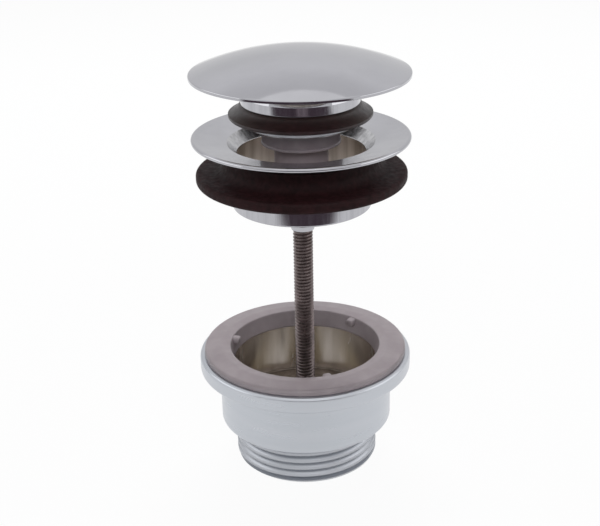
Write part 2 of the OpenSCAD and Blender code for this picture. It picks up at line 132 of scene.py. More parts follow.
@dataclass(frozen=True)
class Finish:
    """Surface of one kind: two tones in patches, a range of gloss, and a fine relief."""

    name: str  # What the material is and how its surface was made
    tone: str  # Main colour, sRGB hex
    second: str  # Colour of the patches, sRGB hex
    patch: float  # Width of a patch in mm
    metallic: float  # 1 for bare metal, 0 for plastic and rubber
    gloss: Point  # Lowest and highest roughness
    haze: float  # Width in mm of the spots in which the roughness varies
    grain: float  # Width in mm of the relief's grains
    relief: float  # Strength of the relief
    # Stretch of the patterns along X, Y and Z; a low Z draws marks along the axis.
    stretch: Triple = (1.0, 1.0, 1.0)
    ior: float = 1.5  # Index of refraction, for what is not metal
    specular: float = 0.5  # Level of the mirror part, for what is not metal
    ringed: float = 0.0  # How far turning marks round the axis draw the gloss out along it

    def material(self) -> bpy.types.Material:
        """Makes the finish's node material.

        Returns:
            The new material.
        """
        made = bpy.data.materials.new(self.name)
        made.use_nodes = True
        tree = made.node_tree
        shader = tree.nodes["Principled BSDF"]
        place = add_node(tree, "ShaderNodeTexCoord").outputs["Object"]
        drawn = add_node(tree, "ShaderNodeMapping", inputs={"Vector": place, "Scale": self.stretch}).outputs["Vector"]
        patches = add_node(tree, "ShaderNodeTexNoise", inputs={
            "Vector": drawn, "Scale": per_mm(self.patch), "Detail": 3.0, "Roughness": 0.55})
        spread = add_node(tree, "ShaderNodeMapRange", inputs={
            "Value": patches.outputs["Fac"], "From Min": 0.35, "From Max": 0.65})
        colour = add_node(tree, "ShaderNodeMix", {"data_type": "RGBA"}, {
            "Factor": spread.outputs["Result"], 6: linear(self.tone), 7: linear(self.second)})
        haze = add_node(tree, "ShaderNodeTexNoise", inputs={
            "Vector": drawn, "Scale": per_mm(self.haze), "Detail": 4.0})
        rough = add_node(tree, "ShaderNodeMapRange", inputs={
            "Value": haze.outputs["Fac"], "From Min": 0.3, "From Max": 0.7,
            "To Min": self.gloss[0], "To Max": self.gloss[1]})
        grain = add_node(tree, "ShaderNodeTexNoise", inputs={
            "Vector": drawn, "Scale": per_mm(self.grain), "Detail": 2.0})
        relief = add_node(tree, "ShaderNodeBump", inputs={
            "Height": grain.outputs["Fac"], "Strength": self.relief, "Distance": 0.05 * self.grain * MM})
        tree.links.new(colour.outputs[2], shader.inputs["Base Color"])
        tree.links.new(rough.outputs["Result"], shader.inputs["Roughness"])
        tree.links.new(relief.outputs["Normal"], shader.inputs["Normal"])
        shader.inputs["Metallic"].default_value = self.metallic
        if self.ringed:
            around = add_node(tree, "ShaderNodeTangent", {"direction_type": "RADIAL", "axis": "Z"})
            tree.links.new(around.outputs["Tangent"], shader.inputs["Tangent"])
            shader.inputs["Anisotropic"].default_value = self.ringed
            shader.inputs["Anisotropic Rotation"].default_value = 0.25
        if not self.metallic:
            shader.inputs["IOR"].default_value = self.ior
            shader.inputs["Specular IOR Level"].default_value = self.specular
        return made


@dataclass(frozen=True)
class Finishes:
    """Every finish on the part, made once and shared by its pieces."""

    # Chrome plate on brass, buffed: a clear grey mirror with a breath of polishing haze.
    bright_chrome: Finish = Finish("buffed_chrome_plate", "#bbbbc0", "#b5b5ba", 16.0, 1.0, (0.05, 0.09), 4.0, 1.6, 0.04)
    # Chrome plate on a drawn wall: a mirror that upright draw marks break into streaks.
    drawn_chrome: Finish = Finish("drawn_chrome_plate", "#bbbbc0", "#b0b0b5", 1.6, 1.0, (0.07, 0.16), 0.7, 0.45, 0.30,
                                  (1.0, 1.0, 0.05))
    # Chrome plate on a turned seat that was not buffed: a broken mirror with streaks down the cone.
    turned_chrome: Finish = Finish("turned_chrome_plate", "#d2d2d4", "#b0b0b2", 1.4, 1.0, (0.14, 0.26), 0.8, 0.5, 0.40,
                                   (1.0, 1.0, 0.3))
    # Chrome plate on the pressed dish: the same grey, with a softer mirror than the dome's.
    dished_chrome: Finish = Finish("pressed_chrome_plate", "#bbbbc0", "#b4b4b9", 12.0, 1.0, (0.13, 0.19),
                                   3.0, 1.2, 0.05)
    # Chrome plate over a turned, blasted surface: a pale soft sheen with faint rings from the lathe.
    satin_chrome: Finish = Finish("satin_chrome_plate", "#c4c7cd", "#bfc3c9", 9.0, 1.0, (0.27, 0.31), 3.0, 0.8, 0.01,
                                  (0.15, 0.15, 2.0))
    # The same plate over the cut thread, thinner and not blasted: greyer, with a duller sheen.
    cut_chrome: Finish = Finish("cut_thread_chrome_plate", "#b9bcc2", "#b1b4ba", 5.0, 1.0, (0.36, 0.42), 2.0, 0.8, 0.02,
                                (0.15, 0.15, 2.0))
    # Thin nickel inside the cup and under the cap: dull warm grey, streaked along the axis by the honing.
    bare_nickel: Finish = Finish("honed_bare_nickel", "#d6cdc4", "#b5aba1", 3.0, 1.0, (0.36, 0.50), 0.9, 0.5, 0.25,
                                 (1.0, 1.0, 0.08))
    # Nickel on the tail's ledge and in its outlet: the same nickel in a dark warm grey, which paints in the shade at
    # the bottom of the bore.
    dull_nickel: Finish = Finish("stained_nickel", "#968c82", "#7b7168", 3.0, 1.0, (0.36, 0.50), 0.9, 0.5, 0.25)
    # Bored wall under a thin nickel wash: a warm half mirror, bright in its middle and dark at its sides.
    bored_nickel: Finish = Finish("bored_nickel_wash", "#f0e9e3", "#dcd4cc", 4.0, 1.0, (0.20, 0.28), 1.6, 0.6, 0.03,
                                  (1.0, 1.0, 0.10), ringed=0.95)
    # Machined brass without plate, gone dull: a greyish gold with turning marks.
    brass: Finish = Finish("machined_brass", "#a99d80", "#978a6c", 6.0, 1.0, (0.25, 0.40), 1.0, 0.5, 0.15,
                           (0.3, 0.3, 2.0))
    # Blackened zinc on rolled steel: a brownish grey with oily patches, near black between the crests.
    dark_steel: Finish = Finish("blackened_zinc_steel", "#8d8180", "#6f6564", 3.0, 1.0, (0.24, 0.38), 0.8, 0.3, 0.12)
    # Drawn stainless wire and washers: clean light grey with drawing marks.
    spring_steel: Finish = Finish("drawn_stainless_steel", "#c3c4c6", "#b4b6b9", 4.0, 1.0, (0.14, 0.24), 0.8, 0.4, 0.10)
    # Moulded nitrile, smooth from the mould: brown-black, with a sheen where it turns away.
    lip_rubber: Finish = Finish("moulded_nitrile_rubber", "#2e191c", "#221214", 2.0, 0.0, (0.32, 0.46), 1.2, 0.7, 0.30,
                                ior=1.52)
    # Moulded rubber, matt: brown-black and mottled, with a powdery grain drawn coarse enough to show.
    black_rubber: Finish = Finish("moulded_black_rubber", "#2a1416", "#1d0d0e", 1.8, 0.0, (0.50, 0.70), 1.2, 0.7, 0.40,
                                  ior=1.52, specular=0.12)
    # Moulded grey elastomer: mauve grey with a waxy half gloss.
    grey_gasket: Finish = Finish("moulded_grey_elastomer", "#a0969a", "#968c90", 6.0, 0.0, (0.30, 0.40), 2.0, 0.9, 0.03)
    # Moulded grey acetal: mauve grey with a soft moulded sheen.
    grey_acetal: Finish = Finish("moulded_grey_acetal", "#a0959b", "#958a90", 4.0, 0.0, (0.30, 0.40), 1.5, 0.6, 0.03)
    # Natural acetal: milky white with a soft moulded sheen.
    white_acetal: Finish = Finish("moulded_natural_acetal", "#dcd8ce", "#d1ccc1", 4.0, 0.0, (0.34, 0.46), 1.5, 0.6,
                                  0.08, ior=1.48)

    def make(self) -> dict[str, bpy.types.Material]:
        """Makes every finish's material, by the finish's name in this class."""
        return {name: getattr(self, name).material() for name in self.__dataclass_fields__}


class Outline:
    """Outline of a turned piece, as corners of (radius, height) in mm with a rounding each."""

    SHARE = 0.46  # Largest share of an edge that a fillet may take
    SPARE = 0.2  # Distance of the support point from a fillet, as a share of the fillet's reach
    SPAN = math.radians(13)  # Largest turn between two points of a fillet

    def __init__(self) -> None:
        """Starts an outline with no corners."""
        self.corners: list[Triple] = []

    def to(self, radius: float, height: float, rounding: float = 0.0) -> "Outline":
        """Adds a corner.

        Args:
            radius: Distance from the axis.
            height: Height above the tail's end face.
            rounding: Radius of the corner's fillet.

        Returns:
            The outline itself, to draw on.
        """
        self.corners.append((radius, height, rounding))
        return self

    def arc(self, centre: Point, radius: float, start: float, end: float, count: int) -> "Outline":
        """Adds points along an arc.

        Args:
            centre: Radius and height of the arc's centre.
            radius: The arc's radius.
            start: Angle of its first point, in degrees.
            end: Angle of its last point, in degrees.
            count: Number of spans.

        Returns:
            The outline itself, to draw on.
        """
        for i in range(count + 1):
            angle = math.radians(start + (end - start) * i / count)
            self.to(centre[0] + radius * math.cos(angle), centre[1] + radius * math.sin(angle))
        return self

    def hollow(self, end: Point, radius: float, count: int) -> "Outline":
        """Adds points along a hollow arc from the last corner, with its centre on the right of the way.

        Args:
            end: Radius and height of the arc's end.
            radius: The arc's radius.
            count: Number of spans.

        Returns:
            The outline itself, to draw on.
        """
        first, last = Vector(self.corners[-1][:2]), Vector(end)
        way = last - first
        side = Vector((way.y, -way.x)).normalized()
        centre = (first + last) / 2 + side * math.sqrt(radius ** 2 - way.length_squared / 4)
        angles = [math.degrees(math.atan2(p.y - centre.y, p.x - centre.x)) for p in (first, last)]
        self.corners.pop()
        return self.arc(tuple(centre), radius, angles[0], angles[1], count)

    def points(self) -> list[Point]:
        """Works the fillets out, with a support point on each side so that flat faces shade flat.

        Returns:
            Points of the closed outline, in order.
        """
        found: list[Point] = []
        count = len(self.corners)
        for i, (radius, height, rounding) in enumerate(self.corners):
            here = Vector((radius, height))
            if not rounding:
                found.append((radius, height))
                continue
            before = Vector(self.corners[i - 1][:2]) - here
            after = Vector(self.corners[(i + 1) % count][:2]) - here
            one, two = before.normalized(), after.normalized()
            half = one.angle(two) / 2
            reach = min(rounding / math.tan(half), self.SHARE * before.length, self.SHARE * after.length)
            fillet = reach * math.tan(half)
            centre = here + (one + two).normalized() * (fillet / math.sin(half))
            spare = self.SPARE * reach
            first = here + one * reach - centre
            last = here + two * reach - centre
            turn = first.angle_signed(last)
            spans = max(3, math.ceil(abs(turn) / self.SPAN))
            found.append(tuple(here + one * (reach + spare)))
            for k in range(spans + 1):
                angle = -turn * k / spans
                found.append((centre.x + first.x * math.cos(angle) - first.y * math.sin(angle),
                              centre.y + first.x * math.sin(angle) + first.y * math.cos(angle)))
            found.append(tuple(here + two * (reach + spare)))
        return found


class Bench:
    """Edit-mode tools that the pieces are made with."""

    SUNK = 0.12  # Depth that a thread's ridge is sunk in its core, as a share of the ridge's height
    FOOT = 0.48  # Half the width of the ridge's foot, as a share of the pitch

    @staticmethod
    def start(name: str, add: Callable[..., set[str]], **size: object) -> Piece:
        """Adds a primitive with nothing else selected.

        Args:
            name: Name of the new piece.
            add: Operator that adds the primitive.
            **size: Settings of the operator.

        Returns:
            The new object.
        """
        bpy.ops.object.select_all(action="DESELECT")
        add(**size)
        piece = bpy.context.object
        piece.name = piece.data.name = name
        return piece

    @staticmethod
    def select(*pieces: Piece) -> None:
        """Selects these objects alone, the first one active."""
        bpy.ops.object.select_all(action="DESELECT")
        for piece in pieces:
            piece.select_set(True)
        bpy.context.view_layer.objects.active = pieces[0]

    @staticmethod
    @contextmanager
    def editing(piece: Piece) -> Iterator[None]:
        """Opens a piece in edit mode with all of it selected, and closes it again."""
        Bench.select(piece)
        bpy.ops.object.mode_set(mode="EDIT")
        bpy.ops.mesh.select_all(action="SELECT")
        yield
        bpy.ops.object.mode_set(mode="OBJECT")

    @staticmethod
    def settle(piece: Piece, angle: float = 32.0) -> Piece:
        """Applies a piece's place, points its faces outwards and shades it.

        Args:
            piece: Piece to settle.
            angle: Angle in degrees above which an edge stays sharp.

        Returns:
            The same piece.
        """
        Bench.select(piece)
        bpy.ops.object.transform_apply(location=True, rotation=True, scale=True)
        with Bench.editing(piece):
            bpy.ops.mesh.remove_doubles(threshold=MERGE)
            bpy.ops.mesh.normals_make_consistent(inside=False)
        bpy.ops.object.shade_smooth_by_angle(angle=math.radians(angle))
        return piece

    @staticmethod
    def apply(piece: Piece, kind: str, **settings: object) -> None:
        """Adds a modifier with its settings and applies it."""
        Bench.select(piece)
        modifier = piece.modifiers.new(kind.lower(), kind)
        for name, value in settings.items():
            setattr(modifier, name, value)
        bpy.ops.object.modifier_apply(modifier=modifier.name)

    @staticmethod
    def turn(name: str, outline: Outline, steps: int = 192) -> Piece:
        """Draws an outline point by point and spins it round the axis.

        Args:
            name: Name of the new piece.
            outline: Closed outline of the piece.
            steps: Faces round the piece.

        Returns:
            The turned piece.
        """
        points = outline.points()
        piece = Bench.start(name, bpy.ops.mesh.primitive_plane_add, size=MM)
        with Bench.editing(piece):
            bpy.ops.mesh.merge(type="CENTER")
            bpy.ops.transform.translate(value=(points[0][0] * MM, 0, points[0][1] * MM))
            for here, there in zip(points, points[1:] + points[:1]):
                step = ((there[0] - here[0]) * MM, 0, (there[1] - here[1]) * MM)
                bpy.ops.mesh.extrude_vertices_move(TRANSFORM_OT_translate={"value": step})
            bpy.ops.mesh.select_all(action="SELECT")
            bpy.ops.mesh.remove_doubles(threshold=MERGE)
            bpy.ops.mesh.spin(steps=steps, angle=math.tau, center=(0, 0, 0), axis=(0, 0, 1))
        return Bench.settle(piece)

    @staticmethod
    def bar(name: str, reach: Point, width: float, heights: Point, angle: float, bevel: float) -> Piece:
        """Makes a bevelled bar that runs outwards from the axis.

        Args:
            name: Name of the new piece.
            reach: Radii of its inner and outer ends.
            width: Width across.
            heights: Heights of its lower and upper faces.
            angle: Direction in degrees from +X.
            bevel: Width of the bevel on its edges.

        Returns:
            The bar.
        """
        size = Vector((reach[1] - reach[0], width, heights[1] - heights[0])) * MM
        piece = Bench.start(name, bpy.ops.mesh.primitive_cube_add, size=1, scale=size,
                            location=((reach[0] + reach[1]) / 2 * MM, 0, (heights[0] + heights[1]) / 2 * MM))
        bpy.ops.object.transform_apply(location=True, rotation=True, scale=True)
        with Bench.editing(piece):
            bpy.ops.mesh.bevel(offset=bevel * MM, segments=3, affect="EDGES")
        piece.rotation_euler.z = math.radians(angle)
        return Bench.settle(piece)

    @staticmethod
    def ridge(name: str, crest: float, root: float, flat: float, pitch: float, heights: Point,
              steps: int) -> Piece:
        """Winds the ridge of a right-hand thread, with its foot sunk in the core that it lies on.

        Args:
            name: Name of the new piece.
            crest: Radius over the ridge.
            root: Radius of the core.
            flat: Width of the ridge's crest.
            pitch: Rise in one turn.
            heights: Heights between which the ridge is wound.
            steps: Faces round one turn.

        Returns:
            The ridge.
        """
        turns = max(1, round((heights[1] - heights[0]) / pitch))
        sunk = root - Bench.SUNK * (crest - root)
        low = heights[0] - 0.5 * pitch
        foot = Bench.FOOT * pitch
        section = [(sunk, low - foot), (crest, low - flat / 2), (crest, low + flat / 2), (sunk, low + foot)]
        piece = Bench.start(name, bpy.ops.mesh.primitive_plane_add, size=MM)
        with Bench.editing(piece):
            bpy.ops.mesh.delete(type="ONLY_FACE")
        for vertex, (radius, height) in zip([piece.data.vertices[i] for i in (0, 1, 3, 2)], section):
            vertex.co = (radius * MM, 0, height * MM)
        Bench.apply(piece, "SCREW", axis="Z", angle=math.tau, screw_offset=pitch * MM, iterations=turns + 1,
                    steps=steps, render_steps=steps, use_merge_vertices=False)
        with Bench.editing(piece):
            bpy.ops.mesh.remove_doubles(threshold=MERGE)
            bpy.ops.mesh.fill_holes(sides=6)
        return piece

    @staticmethod
    def trim(piece: Piece, limit: Callable[[float], float], heights: Point) -> None:
        """Turns a wound ridge down to a limit, as the chamfer tool does.

        Args:
            piece: Ridge to trim.
            limit: Largest radius in mm at a height in mm.
            heights: Lowest and highest level that any point keeps.
        """
        for vertex in piece.data.vertices:
            x, y, z = vertex.co
            z = min(max(z / MM, heights[0]), heights[1])
            radius = math.hypot(x, y) / MM
            share = min(1.0, limit(z) / radius)
            vertex.co = (x * share, y * share, z * MM)

    @staticmethod
    def join(name: str, *pieces: Piece) -> Piece:
        """Joins pieces into the first one.

        Args:
            name: Name of the joined piece.
            *pieces: Pieces to join.

        Returns:
            The joined piece.
        """
        Bench.select(*pieces)
        bpy.ops.object.join()
        piece = bpy.context.object
        piece.name = piece.data.name = name
        return piece

    @staticmethod
    def cut(piece: Piece, tool: Piece) -> None:
        """Cuts a tool's shape out of a piece, and removes the tool."""
        Bench.apply(piece, "BOOLEAN", operation="DIFFERENCE", solver="EXACT", object=tool)
        bpy.data.objects.remove(tool)

    @staticmethod
    def paint(piece: Piece, finishes: list[bpy.types.Material], pick: Pick | None = None) -> None:
        """Gives each face the finish that its place calls for.

        Args:
            piece: Piece to paint.
            finishes: Materials of the piece.
            pick: Number of the material from a face's radius and height in mm and from how far it looks
                outwards and upwards; the first one if left out.
        """
        piece.data.materials.clear()
        for finish in finishes:
            piece.data.materials.append(finish)
        for face in piece.data.polygons:
            face.material_index = 0
            if pick:
                x, y, height = face.center / MM
                radius = math.hypot(x, y)
                outward = (x * face.normal.x + y * face.normal.y) / max(radius, MERGE)
                face.material_index = pick(radius, height, outward, face.normal.z)


@dataclass
class SubAssembly:
    """Pieces that are made together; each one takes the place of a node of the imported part."""

    finishes: dict[str, bpy.types.Material]  # Materials by the names in Finishes

    def seat(self, piece: Piece, node: str, body: Body, slot: Slot, names: tuple[str, ...],
             pick: Pick | None = None) -> None:
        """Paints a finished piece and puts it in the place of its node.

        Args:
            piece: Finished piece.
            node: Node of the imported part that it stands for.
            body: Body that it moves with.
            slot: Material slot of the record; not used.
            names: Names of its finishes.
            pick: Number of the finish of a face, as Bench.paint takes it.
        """
        Bench.paint(piece, [self.finishes[name] for name in names], pick)
        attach(piece, body.value)
        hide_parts(node)
        LOG.info("%s: %d faces, stands for %s", piece.name, len(piece.data.polygons), node)

    def dress(self, node: str, finish: str) -> None:
        """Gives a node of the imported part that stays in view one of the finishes."""
        Bench.paint(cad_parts[node], [self.finishes[finish]])
        LOG.info("%s: kept, in %s", node, finish)


@dataclass
class Tail(SubAssembly):
    """Threaded tail body, its spider and its gasket."""

    thread_r: float = 20.955  # Radius over the pipe thread
    root_r: float = 19.476  # Radius at the bottom of the thread, which the relief shares
    pitch: float = 2.309  # Pitch of the pipe thread, 11 threads to the inch
    thread_top: float = 11.2  # Height where the thread runs out
    crest_w: float = 1.0  # Width of the thread's crest
    lead_in: float = 1.0  # Chamfer at the thread's lower end
    run_out: Point = (0.4, 1.9)  # Length past the thread's top, and steepness of its run-out
    body_z: float = 12.6  # Height of the middle's lower face
    body_r: float = 25.2  # Radius of the middle
    rim_z: float = 28.8  # Height of the rim's lower face
    rim_r: float = 30.9  # Radius of the rim
    top_z: float = 33.7  # Height of the rim's upper face
    bore_r: float = 23.0  # Radius of the bore
    ledge_z: float = 14.6  # Height of the ledge in the bore
    outlet_r: float = 18.0  # Radius of the outlet
    shelf_r: float = 16.5  # Radius inside the shelf that stops the spider
    shelf_z: float = 3.5  # Height of that shelf
    edge: float = 1.0  # Rounding of the outer edges
    gasket_r: float = 29.5  # Radius of the gasket's foot
    gasket_z: float = 35.6  # Height of the gasket's top
    mouth_r: float = 21.9  # Radius of the gasket's mouth
    ridge: Point = (24.6, 35.85)  # Radius and height of the low ridge round the mouth
    fall: Point = (0.45, 0.25)  # Drop of the top from that ridge to its outer and inner edges
    throat_r: float = 20.7  # Radius of its throat, which the mouth narrows to
    skirt_r: float = 22.9  # Radius of its skirt
    skirt_z: float = 30.5  # Height of the skirt's lower edge
    nib_r: float = 19.8  # Radius that the nibs reach in to
    nib_w: float = 2.5  # Width of the nibs
    nib_drop: Point = (2.3, 0.25)  # Drop from the gasket's top to the nibs' lower and upper ends
    nib_angles: Triple = (47.0, 167.0, 287.0)  # Directions of the nibs in degrees
    hub_r: float = 5.5  # Radius of the spider's hub
    hub_z: float = 12.5  # Height of the hub's top
    tapped_r: float = 3.05  # Radius of the tapped hole
    ring_w: float = 1.5  # Width of the spider's ring
    arm_angles: Triple = (90.0, 210.0, 330.0)  # Directions of the spider's arms in degrees
    arm_w: float = 3.6  # Width of the spider's arms
    ring_z: float = 8.5  # Height of the spider's ring

    def body(self) -> None:
        """Turns the body and winds the pipe thread round its tail."""
        outline = (Outline()
                   .to(self.shelf_r, 0.0, 0.2).to(self.root_r, 0.0, 0.2)
                   .to(self.root_r, self.body_z, 0.3).to(self.body_r, self.body_z, self.edge)
                   .to(self.body_r, self.rim_z, 0.4).to(self.rim_r, self.rim_z, self.edge)
                   .to(self.rim_r, self.top_z, self.edge).to(self.bore_r, self.top_z, 0.4)
                   .to(self.bore_r, self.ledge_z, 0.6).to(self.outlet_r, self.ledge_z, 0.4)
                   .to(self.outlet_r, self.shelf_z, 0.2).to(self.shelf_r, self.shelf_z, 0.2))
        core = Bench.turn("tail_body_turned", outline, 256)
        ridge = Bench.ridge("tail_thread_ridge", self.thread_r, self.root_r, self.crest_w, self.pitch,
                            (0.0, self.thread_top), 160)

        def limit(height: float) -> float:
            """Radius that the thread's two chamfers leave at a height."""
            low = self.thread_r - self.lead_in + height
            high = self.root_r + (self.thread_top + self.run_out[0] - height) * self.run_out[1]
            return max(self.root_r - 0.2, min(self.thread_r, low, high))

        Bench.trim(ridge, limit, (0.05, self.thread_top + 0.5))
        Bench.settle(ridge, 80.0)
        piece = Bench.join("tail_body_chromed", core, ridge)

        def inner(radius: float, height: float, outward: float, _: float) -> int:
            """Picks a nickel for the bore's wall, a darker nickel with painted shade for ledge and outlet, and the
            thread's plate.
            """
            if radius > self.root_r - 0.3 and height < self.body_z - 0.3:
                return 3
            inside, inward = radius < self.bore_r + 0.3, outward < -0.2
            if inside and inward and height > self.ledge_z + 0.6:
                return 1
            return 2 if inside and (inward or abs(height - self.ledge_z) < 1) else 0

        self.seat(piece, "tail_body", Body.TAIL, Slot.SATIN_CHROME,
                  ("satin_chrome", "bored_nickel", "dull_nickel", "cut_chrome"), inner)

    def spider(self) -> None:
        """Turns the spider's ring and hub and sets its arms between them."""
        ring_r = self.outlet_r - 0.05
        ring = Bench.turn("spider_ring", Outline()
                          .to(ring_r - self.ring_w, self.shelf_z, 0.25).to(ring_r, self.shelf_z, 0.25)
                          .to(ring_r, self.ring_z, 0.25).to(ring_r - self.ring_w, self.ring_z, 0.25), 128)
        hub = Bench.turn("spider_hub", Outline()
                         .to(self.tapped_r, self.shelf_z, 0.3).to(self.hub_r, self.shelf_z, 0.4)
                         .to(self.hub_r, self.hub_z, 0.5).to(self.tapped_r, self.hub_z, 0.4), 96)
        arms = [Bench.bar("spider_arm", (self.hub_r - 0.8, ring_r - self.ring_w / 2), self.arm_w,
                          (self.shelf_z + 0.4, self.ring_z - 0.4), angle, 0.4) for angle in self.arm_angles]
        piece = Bench.join("tail_spider_cast", ring, hub, *arms)
        self.seat(piece, "tail_spider", Body.TAIL, Slot.BRASS, ("brass",))

    def gasket(self) -> None:
        """Turns the gasket with its ridge, and sets its three nibs in the throat."""
        outline = (Outline()
                   .to(self.throat_r, self.skirt_z, 0.5).to(self.skirt_r, self.skirt_z, 0.4)
                   .to(self.skirt_r, self.top_z, 0.2).to(self.gasket_r, self.top_z, 0.2)
                   .to(self.gasket_r, self.ridge[1] - self.fall[0], 0.8).to(*self.ridge, 4.0)
                   .to(self.mouth_r, self.ridge[1] - self.fall[1], 0.45))
        ring = Bench.turn("gasket_ring", outline)
        nibs = [Bench.bar("gasket_nib", (self.nib_r, self.skirt_r - 0.4), self.nib_w,
                          (self.gasket_z - self.nib_drop[0], self.gasket_z - self.nib_drop[1]), angle, 0.6)
                for angle in self.nib_angles]
        piece = Bench.join("tail_gasket_moulded", ring, *nibs)
        self.seat(piece, "tail_gasket", Body.TAIL, Slot.GREY_GASKET, ("grey_gasket",))

    def build(self) -> None:
        """Makes all the tail's pieces."""
        self.body()
        self.spider()
        self.gasket()


@dataclass
class Strainer(SubAssembly):
    """Dished strainer with its cup, and the rubber seal under its flange."""

    cup_z: float = 79.3  # Height of the cup's lower edge
    cup_r: float = 19.5  # Outer radius of the cup
    bore_r: float = 17.8  # Inner radius of the cup
    rim_z: float = 99.4  # Height of the flange's rim
    rim_r: float = 30.3  # Radius of the flange
    sheet: float = 1.3  # Thickness of the flange
    seat_z: float = 97.7  # Height of the conical seat's top
    seat_r: float = 20.5  # Radius of its top
    seat_low: float = 94.7  # Height of its lower edge
    hub_r: float = 9.0  # Radius of the hub
    hub_z: float = 82.6  # Height of the hub's top
    hole_r: float = 5.3  # Radius of the hole for the bush
    web_w: float = 4.0  # Width of the webs
    web_angles: tuple[float, ...] = (45.0, 135.0, 225.0, 315.0)  # Directions of the webs in degrees
    seal_r: float = 29.4  # Outer radius of the basin seal
    seal_hole_r: float = 19.6  # Radius of its hole
    seal_z: float = 86.5  # Height of its lower face
    brim_z: float = 89.5  # Height of its brim's upper face
    collar_r: float = 21.5  # Radius of its collar
    collar_z: float = 94.9  # Height of its collar's top
    collar_fillet: float = 3.0  # Rounding between brim and collar

    def shell(self) -> None:
        """Turns the shell and sets hub and webs in its bottom."""
        half = self.sheet / 2
        middle = (self.rim_r - half, self.rim_z - half)
        dish = math.atan2(self.rim_z - self.seat_z, self.rim_r - half - self.seat_r)
        edge = Vector((middle[0] - half * math.sin(dish), middle[1] + half * math.cos(dish)))
        outline = (Outline()
                   .to(self.bore_r, self.cup_z, 0.25).to(self.cup_r, self.cup_z, 0.4)
                   .to(self.cup_r, self.seat_z - self.sheet, 0.4)
                   .arc(middle, half, -80.0, 90.0 + math.degrees(dish), 15)
                   .to(*(edge - 0.2 * Vector((math.cos(dish), math.sin(dish)))))
                   .to(self.seat_r, self.seat_z, 0.35).to(self.bore_r, self.seat_low, 0.3))
        shell = Bench.turn("strainer_shell", outline, 256)
        hub = Bench.turn("strainer_hub", Outline()
                         .to(self.hole_r, self.cup_z, 0.3).to(self.hub_r, self.cup_z, 0.4)
                         .to(self.hub_r, self.hub_z, 0.4).to(self.hole_r, self.hub_z, 0.3), 96)
        webs = [Bench.bar("strainer_web", (self.hub_r - 0.8, self.bore_r + 0.8), self.web_w,
                          (self.cup_z + 0.02, self.hub_z - 0.02), angle, 0.4) for angle in self.web_angles]
        piece = Bench.join("strainer_plated", shell, hub, *webs)

        def plate(radius: float, height: float, outward: float, upward: float) -> int:
            """Picks bare nickel inside the cup, and a finish each for the seat, the cup's wall and the dish."""
            if radius < self.bore_r + 0.1 and height < self.seat_low - 0.2 and outward < 0.5:
                return 1
            if radius < self.seat_r and self.seat_low - 0.2 < height and outward < -0.4:
                return 2
            if height < self.seat_z - self.sheet - 0.5 and outward > 0.9:
                return 3
            return 4 if upward > 0.9 and self.seat_r < radius < self.rim_r - half else 0

        self.seat(piece, "strainer", Body.STRAINER, Slot.BRIGHT_CHROME,
                  ("bright_chrome", "bare_nickel", "turned_chrome", "drawn_chrome", "dished_chrome"), plate)

    def seal(self) -> None:
        """Turns the hat-shaped basin seal, with moulded round edges."""
        fillet = self.collar_fillet
        outline = (Outline()
                   .to(self.seal_hole_r, self.seal_z, 0.4).to(self.seal_r, self.seal_z, 1.0)
                   .to(self.seal_r, self.brim_z, 1.0)
                   .arc((self.collar_r + fillet, self.brim_z + fillet), fillet, -90.0, -180.0, 10)
                   .to(self.collar_r, self.collar_z, 0.4).to(self.seal_hole_r, self.collar_z, 0.4))
        piece = Bench.turn("basin_seal_moulded", outline)
        self.seat(piece, "basin_seal", Body.SEAL, Slot.BLACK_RUBBER, ("black_rubber",))

    def build(self) -> None:
        """Makes the strainer's pieces."""
        self.shell()
        self.seal()


